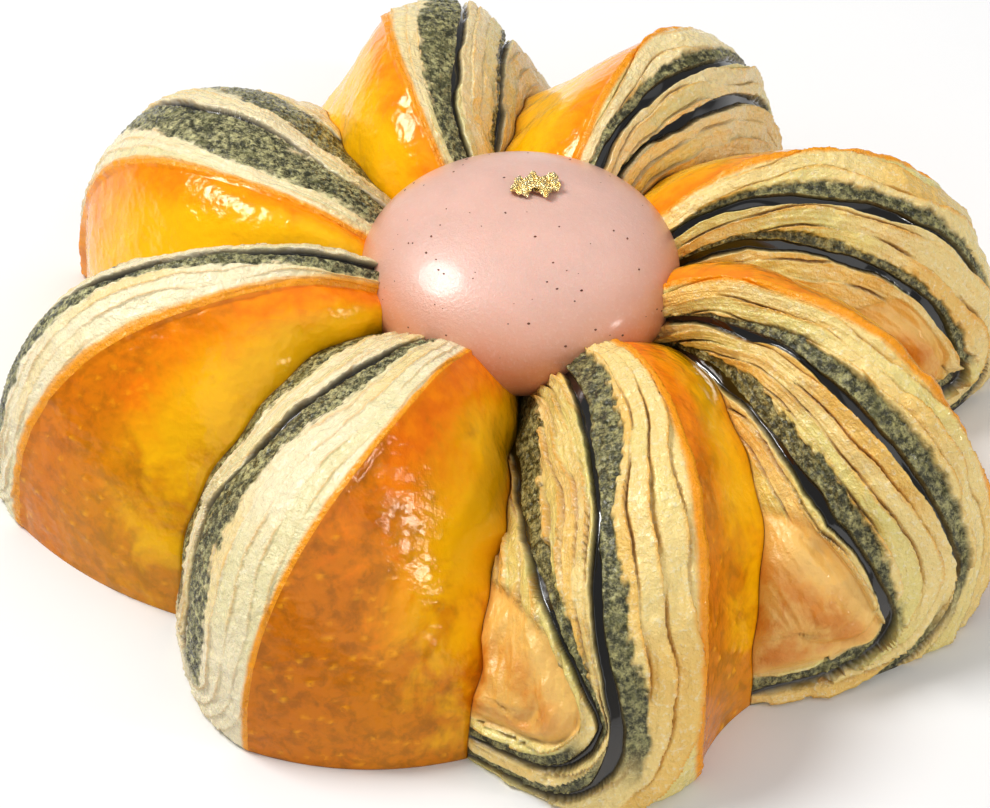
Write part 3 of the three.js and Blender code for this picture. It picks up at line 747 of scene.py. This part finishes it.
def glazed_skin(name, browned):
    """Egg-washed crust under syrup: yellow in the folds, orange on the crest, browned ends."""
    material, shader, place = open_material(name)
    hollow, outward, blister = painted(place.tree, "hollow", "outward", "blister")
    clouds = noise(place, 0.14, 4.0, 0.6, 0.4) - 0.5
    grain, specks = grained(place, 1.3, 0.4)
    red, green, blue, _ = tone("orange")
    green *= 1 - 0.25 * browned
    crest, _ = mottled(place, 0.3, colour(red, green, blue),
                       colour(0.9 * red, 0.75 * green, blue))
    brown, _ = mottled(place, 0.5, tone("brown"), tone("brown", 0.68), 0.4, 0.68)
    folded = ramp(hollow + clouds * 0.7, 0.1 + 0.1 * browned, 0.5 + 0.2 * browned)
    base = blend(folded, crest, tone("golden"))
    toasted = ramp(outward * 1.3 + clouds * 1.5 - hollow * 0.5, 0.35, 0.8) * browned
    base = blend(toasted, base, brown)
    pale = blister * ramp(noise(place, 0.9), 0.42, 0.55)
    base = blend(pale * 0.7, base, colour(1.0, 0.50, 0.01))
    fill(shader, {
        "Base Color": base, "Roughness": ramp(specks, 0.0, 1.0, 0.1, 0.22),
        "Specular IOR Level": 0.38,
        "Coat Weight": 0.3, "Coat IOR": 1.4, "Coat Roughness": 0.05,
        "Subsurface Weight": 0.1, "Subsurface Radius": (1.0, 0.4, 0.05),
        "Subsurface Scale": 1.5 * MM,
        "Normal": bump(noise(place, 0.55) * 1.6 + grain * 0.5, 0.3, 0.4),
    })
    return material


def layered_dough():
    """The cut face: pale flaky dough, porous dark dough, glossy dark sheets and a baked flap."""
    material, shader, place = open_material("layered_dough")
    sheet, crumb, flap, edge, slot, tint = painted(
        place.tree, "sheet", "crumb", "flap", "edge", "slot", "tint")
    outward, white, mound, from_crest, along, across = painted(
        place.tree, "outward", "white", "mound", "from_crest", "flow_along", "flow_across")
    strata = streaks(vector_of(along, across, 0.0), 0.1, 1.8, 3.0, 0.6)
    grain, high_spots = grained(place, 1.5, 0.5)

    cream = blend(white, tone("cream"), tone("white"))
    leaf_green = blend(white, colour(0.84, 0.72, 0.25), colour(0.88, 0.79, 0.48))
    tan = blend(white, colour(0.91, 0.60, 0.15), colour(0.93, 0.76, 0.40))
    lines = 1 - white * 0.55
    pale = blend(ramp(tint, 0.5, 0.62), cream, leaf_green)
    pale = blend(ramp(tint, 0.44, 0.34), pale, tan)
    pale = blend(ramp(strata, 0.52, 0.75) * 0.6 * lines, pale, tan)
    pale = blend(edge * 0.75 * lines, pale, colour(0.88, 0.46, 0.06))
    # Painted shadow: the slots behind the ledges are coloured dark brown.
    pale = blend(slot * 0.9 * lines, pale, colour(0.42, 0.14, 0.01))
    # Painted glints: the grain's high spots are made paler, almost white.
    pale = blend(high_spots * 0.5, pale, colour(1.0, 0.94, 0.76))
    rim = ramp(from_crest + strata * 0.6, 0.6, 1.2, 1.0, 0.0)
    pale = blend(rim, pale, tone("orange", 0.95))

    rubble = grain * 0.6 + noise(place, 0.8, 3.0, 0.7) * 0.7 - 0.3
    flecks = blend(white, colour(0.50, 0.46, 0.20), colour(0.70, 0.65, 0.34))
    dark = blend(ramp(rubble, 0.36, 0.72), tone("crumb"), flecks)
    dark, _ = mottled(place, 0.25, dark, tone("crumb", 3.4), 0.5, 0.8)
    black = blend(ramp(outward, 0.7, 0.95), tone("sheet"), tone("sheet", 8.0))
    baked, _ = mottled(place, 0.22, colour(0.82, 0.50, 0.14), colour(0.72, 0.30, 0.04), 0.35, 0.6)
    baked = blend(ramp(mound, 0.2, 0.9), colour(0.90, 0.60, 0.20), baked)
    base = blend(sheet, blend(flap, blend(crumb, pale, dark), baked), black)

    rough = 0.2 - sheet * 0.14 - crumb * 0.04 - high_spots * 0.08 + flap * 0.15
    bare = maths("SUBTRACT", 1.0, sheet + flap * 0.6, clamp=True)
    fill(shader, {
        "Base Color": base, "Roughness": maths("MAXIMUM", rough, 0.05),
        "Specular IOR Level": 0.7,
        "Coat Weight": 0.2 + sheet * 0.8 - flap * 0.1, "Coat Roughness": 0.07,
        "Subsurface Weight": 0.1, "Subsurface Radius": (1.0, 0.6, 0.25),
        "Subsurface Scale": 1.0 * MM,
        "Normal": bump((grain + strata * 0.4) * bare, 0.8, 0.4),
    })
    return material


def baked_base():
    """The flat underside and the hidden walls: matt baked dough."""
    material, shader, place = open_material("baked_base")
    base, _ = mottled(place, 0.2, colour(0.70, 0.40, 0.12), colour(0.42, 0.19, 0.04))
    grain, _ = grained(place, 1.8, 0.3)
    fill(shader, {"Base Color": base, "Roughness": 0.7, "Normal": bump(grain, 0.5, 0.4)})
    return material


def pink_gel():
    """Milky fruit gel, softly glossy, with a fine sugary grain, a painted sheen on top and a
    painted reflection of the orange petals lower down.
    """
    material, shader, place = open_material("pink_gel")
    top, clouds = mottled(place, 0.09, tone("gel"), tone("gel", 0.93))
    # Painted light: paler pink towards the top as painted sheen, darker orange towards the bottom
    # as a painted reflection of the orange petals.
    height = result(place.tree, "ShaderNodeSeparateXYZ", {"Vector": place}, "Z")
    rim = ramp(height, DOME_Z, DOME_Z + 0.85 * DOME_ABOVE, 1.0, 0.0)
    grain, high_spots = grained(place, 2.2, 0.5)
    base = blend(rim, top, tone("gel_painted_reflection"))
    # Painted glints: the grain's high spots are made paler.
    base = blend(high_spots * 0.25, base, colour(0.88, 0.66, 0.58))
    fill(shader, {
        "Base Color": base, "Roughness": ramp(clouds, 0.0, 1.0, 0.28, 0.36),
        "Coat Weight": 0.25, "Coat Roughness": 0.12,
        "Subsurface Weight": 0.35, "Subsurface Radius": (1.0, 0.45, 0.3),
        "Subsurface Scale": 3.0 * MM, "Normal": bump(grain, 0.3, 0.2),
    })
    return material


def dark_speck():
    """Dark brown specks in the gel."""
    material, shader, place = open_material("dark_speck")
    base, _ = mottled(place, 2.0, colour(0.10, 0.035, 0.02), colour(0.26, 0.11, 0.06))
    fill(shader, {"Base Color": base, "Roughness": 0.35})
    return material


def gold_foil():
    """Thin crumpled gold leaf."""
    material, shader, place = open_material("gold_foil")
    base, creases = mottled(place, 1.6, tone("leaf"), colour(0.90, 0.70, 0.32))
    fill(shader, {
        "Base Color": base, "Roughness": ramp(creases, 0.0, 1.0, 0.14, 0.3), "Metallic": 1.0,
        "Normal": bump(creases, 0.5, 0.3),
    })
    return material


def pale_floor():
    """A plain matt floor."""
    material, shader, place = open_material("pale_floor")
    base, _ = mottled(place, 0.01, colour(0.87, 0.87, 0.87), colour(0.86, 0.86, 0.86))
    fill(shader, {"Base Color": base, "Roughness": 0.8})
    return material


# ---- properties ----

def length_property(name, description, millimetres, least=0.0):
    return FloatProperty(name=name, description=description, default=millimetres * MM,
                         min=least * MM, unit="LENGTH", precision=5)


class DoughSettings(bpy.types.PropertyGroup):
    ledge_height: length_property("Ledge height", "How far pale layers stand out", 0.65)
    ledge_spacing: length_property("Ledge spacing", "Distance between two sheets", 2.0, 0.5)
    crumb_depth: length_property("Crumb depth", "Depth of the dark dough's pits", 0.3)
    crumb_size: length_property("Crumb size", "Width of the dark dough's pits", 0.8, 0.1)
    groove_depth: length_property("Groove depth", "How deep the dark sheets lie", 0.6)
    flap_height: length_property("Flap height", "How far the folded end stands out", 1.5)
    skin_waves: length_property("Skin waves", "Unevenness of the glazed skin", 0.3)


def tone_property(name, description, default):
    return FloatVectorProperty(name=name, description=description, default=default,
                               size=3, min=0.0, max=1.0, subtype="COLOR")


class ColourSettings(bpy.types.PropertyGroup):
    golden: tone_property("Golden glaze", "Skin in the folds", (1.0, 0.56, 0.0))
    orange: tone_property("Orange glaze", "Skin along the crests", (1.0, 0.42, 0.0))
    brown: tone_property("Browned glaze", "Skin at the baked ends", (0.70, 0.24, 0.0))
    cream: tone_property("Cream dough", "Plain dough of the flaky petals", (0.93, 0.72, 0.28))
    white: tone_property("White dough", "Plain dough of the smooth petals", (0.95, 0.84, 0.58))
    crumb: tone_property("Dark dough", "Pits of the porous dark dough", (0.045, 0.045, 0.016))
    sheet: tone_property("Dark sheet", "Glossy sheets between the doughs", (0.006, 0.005, 0.004))
    gel: tone_property("Gel", "Top of the gel dome", (0.80, 0.54, 0.46))
    # Painted reflection of the orange petals on the dome's lower part.
    gel_painted_reflection: tone_property("Gel rim", "Lower part of the gel dome", (0.74, 0.36, 0.21))
    leaf: tone_property("Gold leaf", "Gold leaf on the dome", (0.98, 0.88, 0.62))


class StageSettings(bpy.types.PropertyGroup):
    lens: FloatProperty(name="Lens", description="Focal length in millimetres", default=121.45,
                        subtype="NONE")
    distance: FloatProperty(name="Distance", description="Camera to the point it looks at",
                            default=0.4, unit="LENGTH")
    elevation: FloatProperty(name="Elevation", description="Camera above the horizon",
                             default=math.radians(43), subtype="ANGLE")
    key_power: FloatProperty(name="Key power", description="Power of the main light",
                             default=2.7, unit="POWER")


# ---- operators ----

class PASTRY_OT_petals(bpy.types.Operator):
    """Lofts the eight petals and raises their layers"""

    bl_idname = "pastry.petals"
    bl_label = "Petals"

    def execute(self, context):
        settings = context.scene.pastry_dough
        sizes = {label: getattr(settings, label.lower().replace(" ", "_")) / MM
                 for label in DOUGH_SIZES}
        cut, base = layered_dough(), baked_base()
        for number, petal in enumerate(PETALS):
            points, attributes = petal_grid(number)
            vertices, faces = petal_faces(points)
            piece = new_object(f"petal_{number + 1}_baked", in_frame(vertices), faces)
            hidden = len(vertices) - points.shape[0] * points.shape[1]
            for name, values in attributes.items():
                layer = piece.data.attributes.new(name, "FLOAT", "POINT")
                data = np.concatenate([values.ravel(), np.zeros(hidden)])
                layer.data.foreach_set("value", data.astype(np.float32))
            rows = SKIN_ROWS + CUT_ROWS
            surface = np.full(len(faces), 2.0)
            surface[:ALONG * rows] = np.arange(ALONG * rows) % rows >= SKIN_ROWS
            kind = piece.data.attributes.new("surface", "FLOAT", "FACE")
            kind.data.foreach_set("value", surface.astype(np.float32))
            grow(piece, built_once("Laminated relief", relief_tree), {
                **sizes,
                "Seed": float(number + 1),
                "Flakiness": petal["flaky"],
                "Whiteness": petal["white"],
                "Skin": glazed_skin(f"glazed_skin_{number + 1}", petal["browned"]),
                "Cut Face": cut,
                "Base": base,
            })
            finish_piece(piece, "crust", f"petal_{number + 1}")
        return {"FINISHED"}


class PASTRY_OT_dome(bpy.types.Operator):
    """Makes the gel dome"""

    bl_idname = "pastry.dome"
    bl_label = "Gel dome"

    def execute(self, context):
        rings, segments = DOME_RINGS, DOME_SEGMENTS
        latitude = np.linspace(-math.pi / 2, math.pi / 2, rings + 1)[1:-1, None]
        turn = np.linspace(0, 2 * math.pi, segments, endpoint=False)[None]
        radius = DOME_RADIUS * np.cos(latitude)
        tall = np.where(latitude > 0, DOME_ABOVE, DOME_BELOW)
        points = np.stack([radius * np.cos(turn), DOME_Y + radius * np.sin(turn),
                           DOME_Z + tall * np.sin(latitude) + 0 * turn], axis=2)
        index = np.arange((rings - 1) * segments).reshape(rings - 1, segments)
        ahead = np.roll(index, -1, axis=1)
        faces = np.stack([index[:-1], ahead[:-1], ahead[1:], index[1:]], axis=2)
        faces = faces.reshape(-1, 4).tolist()
        south, north = (rings - 1) * segments, (rings - 1) * segments + 1
        faces += [[south, b, a] for a, b in zip(index[0].tolist(), ahead[0].tolist())]
        faces += [[north, a, b] for a, b in zip(index[-1].tolist(), ahead[-1].tolist())]
        poles = np.array([[0, DOME_Y, DOME_Z - DOME_BELOW], [0, DOME_Y, DOME_Z + DOME_ABOVE]])
        piece = new_object("gel_pebble", in_frame(np.concatenate([points.reshape(-1, 3), poles])),
                           faces)
        piece.data.materials.append(pink_gel())
        finish_piece(piece, "gel", "gel_dome")
        return {"FINISHED"}


def speck_tree(name):
    """Scatters flat specks over the top of a surface."""
    tree, given, end = open_tree("GeometryNodeTree", name, {"Geometry": "Geometry", **SPECKS},
                                 {"Geometry": "Geometry"})
    position = result(tree, "GeometryNodeInputPosition")
    height = result(tree, "ShaderNodeSeparateXYZ", {"Vector": position}, "Z")
    scattered = add(tree, "GeometryNodeDistributePointsOnFaces", {
        "Mesh": given["Geometry"], "Selection": maths("GREATER_THAN", height, DOME_Z * MM),
        "Density": given["Count per m2"], "Seed": SPECK_SEED}, distribute_method="RANDOM")
    ball = result(tree, "GeometryNodeMeshIcoSphere", {"Radius": 1.0, "Subdivisions": 2})
    size = result(tree, "FunctionNodeRandomValue", {
        2: given["Least Size"], 3: given["Most Size"], "Seed": SPECK_SEED}, 1,
        data_type="FLOAT")
    placed = result(tree, "GeometryNodeInstanceOnPoints", {
        "Points": Value(scattered, "Points"), "Instance": ball,
        "Rotation": Value(scattered, "Rotation"),
        "Scale": vector_of(size, size * 0.7, size * 0.35)})
    joined = result(tree, "GeometryNodeRealizeInstances", {"Geometry": placed})
    dressed = result(tree, "GeometryNodeSetMaterial", {
        "Geometry": joined, "Material": dark_speck()})
    fill(end, {"Geometry": dressed})
    return tree


class PASTRY_OT_specks(bpy.types.Operator):
    """Scatters dark specks over the gel dome"""

    bl_idname = "pastry.specks"
    bl_label = "Specks"

    def execute(self, context):
        dome = bpy.data.objects["gel_pebble"]
        piece = bpy.data.objects.new("gel_specks", dome.data.copy())
        context.scene.collection.objects.link(piece)
        grow(piece, built_once("Scattered specks", speck_tree), {})
        finish_piece(piece, "gel")
        return {"FINISHED"}


def foil_leaf(x, y, half_x, half_y, seed):
    """One crumpled flake of leaf on the dome: a folded sheet with a torn outline."""
    draw = np.random.default_rng(seed)
    rings, segments = FOIL_RINGS, FOIL_SEGMENTS
    turn = np.linspace(0, 2 * math.pi, segments, endpoint=False)
    outline = 1 + 0.22 * np.sin(2 * turn + draw.uniform(0, 6)) + 0.14 * np.sin(
        5 * turn + draw.uniform(0, 6)) + draw.uniform(-0.1, 0.1, segments)
    share = np.linspace(0, 1, rings + 1)[1:, None]
    u = np.concatenate([[0], (share * outline * np.cos(turn)).ravel()])
    v = np.concatenate([[0], (share * outline * np.sin(turn)).ravel()])
    crumple = np.zeros_like(u)
    for step in range(FOIL_FOLDS):
        angle, pace = draw.uniform(0, math.pi), 1.6 + 0.9 * step
        line = (u * math.cos(angle) + v * math.sin(angle)) * pace + draw.uniform(0, 9)
        crumple += (np.abs(line % 2 - 1) - 0.5) * FOIL_CRUMPLE / (1 + 0.6 * step)
    px, py = x + half_x * u, y + half_y * v
    wide = np.clip(1 - (px ** 2 + (py - DOME_Y) ** 2) / DOME_RADIUS ** 2, 0, 1)
    z = DOME_Z + DOME_ABOVE * np.sqrt(wide) + FOIL_HOVER + crumple
    top = np.stack([px, py, z], axis=1)
    count = len(top)
    vertices = np.concatenate([top, top - np.array([0, 0, FOIL_THICKNESS])])
    faces = []
    for ring in range(rings):
        for i in range(segments):
            j = (i + 1) % segments
            if ring == 0:
                quads = [[0, 1 + i, 1 + j]]
            else:
                low, high = 1 + (ring - 1) * segments, 1 + ring * segments
                quads = [[low + i, high + i, high + j], [low + i, high + j, low + j]]
            for quad in quads:
                faces.append(quad)
                faces.append([count + k for k in reversed(quad)])
    rim = 1 + (rings - 1) * segments
    for i in range(segments):
        j = (i + 1) % segments
        faces.append([rim + i, count + rim + i, count + rim + j, rim + j])
    return vertices, faces


class PASTRY_OT_gold(bpy.types.Operator):
    """Lays the two crumpled flakes of gold leaf on the dome"""

    bl_idname = "pastry.gold"
    bl_label = "Gold leaf"

    def execute(self, context):
        foil = gold_foil()
        for name, place in GOLD_FLECKS.items():
            vertices, faces = foil_leaf(*place)
            piece = new_object(f"{name}_foil", in_frame(vertices), faces)
            piece.data.shade_flat()
            piece.data.materials.append(foil)
            finish_piece(piece, "gold", name)
        return {"FINISHED"}


class PASTRY_OT_stage(bpy.types.Operator):
    """Sets the floor, the lights and the camera"""

    bl_idname = "pastry.stage"
    bl_label = "Stage"

    def execute(self, context):
        settings = context.scene.pastry_stage
        axis = flower_axis()
        corners = np.array([[-1, -1, 0], [1, -1, 0], [1, 1, 0], [-1, 1, 0]]) * FLOOR_HALF
        floor = new_object("floor", corners, [[0, 1, 2, 3]])
        floor.data.materials.append(pale_floor())

        aim = Vector(CAMERA_AIM) + axis
        back = Vector((0, -math.cos(settings.elevation), math.sin(settings.elevation)))
        camera = bpy.data.objects.new("camera", bpy.data.cameras.new("camera"))
        camera.data.lens = settings.lens
        camera.data.sensor_width = 36.0
        camera.data.clip_start = 0.01
        camera.location = aim + back * settings.distance
        camera.rotation_euler = back.to_track_quat("Z", "Y").to_euler()
        context.scene.collection.objects.link(camera)
        context.scene.camera = camera

        for name, (direction, distance, width, power) in LIGHTS.items():
            area_light(context, name, axis + Vector(LIGHT_TARGET), Vector(direction), distance,
                       width, power or settings.key_power)

        world = bpy.data.worlds.new("studio")
        world.use_nodes = True
        fill(world.node_tree.nodes["Background"], {
            "Color": colour(1, 1, 1), "Strength": WORLD_STRENGTH})
        context.scene.world = world
        view = context.scene.view_settings
        view.view_transform, view.exposure, view.gamma = "Standard", EXPOSURE, GAMMA
        return {"FINISHED"}


def area_light(context, name, target, direction, distance, size, power):
    data = bpy.data.lights.new(name, "AREA")
    data.shape = "DISK"
    data.size = size
    data.energy = power
    light = bpy.data.objects.new(name, data)
    light.location = target + direction.normalized() * distance
    light.rotation_euler = direction.to_track_quat("Z", "Y").to_euler()
    context.scene.collection.objects.link(light)


class PASTRY_PT_panel(bpy.types.Panel):
    """Lists the pastry's sizes and the steps that build it"""

    bl_label = "Flower danish"
    bl_idname = "PASTRY_PT_panel"
    bl_space_type = "VIEW_3D"
    bl_region_type = "UI"
    bl_category = "Pastry"

    def draw(self, context):
        scene = context.scene
        for group in (scene.pastry_dough, scene.pastry_colours, scene.pastry_stage):
            for key in group.bl_rna.properties.keys():
                if key not in ("rna_type", "name"):
                    self.layout.prop(group, key)
        for operator in OPERATORS:
            self.layout.operator(operator.bl_idname)


SETTINGS = (DoughSettings, ColourSettings, StageSettings)
OPERATORS = (PASTRY_OT_stage, PASTRY_OT_petals, PASTRY_OT_dome, PASTRY_OT_specks,
             PASTRY_OT_gold)


def register():
    for cls in SETTINGS + OPERATORS + (PASTRY_PT_panel,):
        bpy.utils.register_class(cls)
    bpy.types.Scene.pastry_dough = PointerProperty(type=DoughSettings)
    bpy.types.Scene.pastry_colours = PointerProperty(type=ColourSettings)
    bpy.types.Scene.pastry_stage = PointerProperty(type=StageSettings)


def unregister():
    del bpy.types.Scene.pastry_dough
    del bpy.types.Scene.pastry_colours
    del bpy.types.Scene.pastry_stage
    for cls in reversed(SETTINGS + OPERATORS + (PASTRY_PT_panel,)):
        bpy.utils.unregister_class(cls)


def main():
    register()
    bpy.ops.pastry.stage()
    bpy.ops.pastry.petals()
    bpy.ops.pastry.dome()
    bpy.ops.pastry.specks()
    bpy.ops.pastry.gold()


if __name__ == "__main__":
    main()
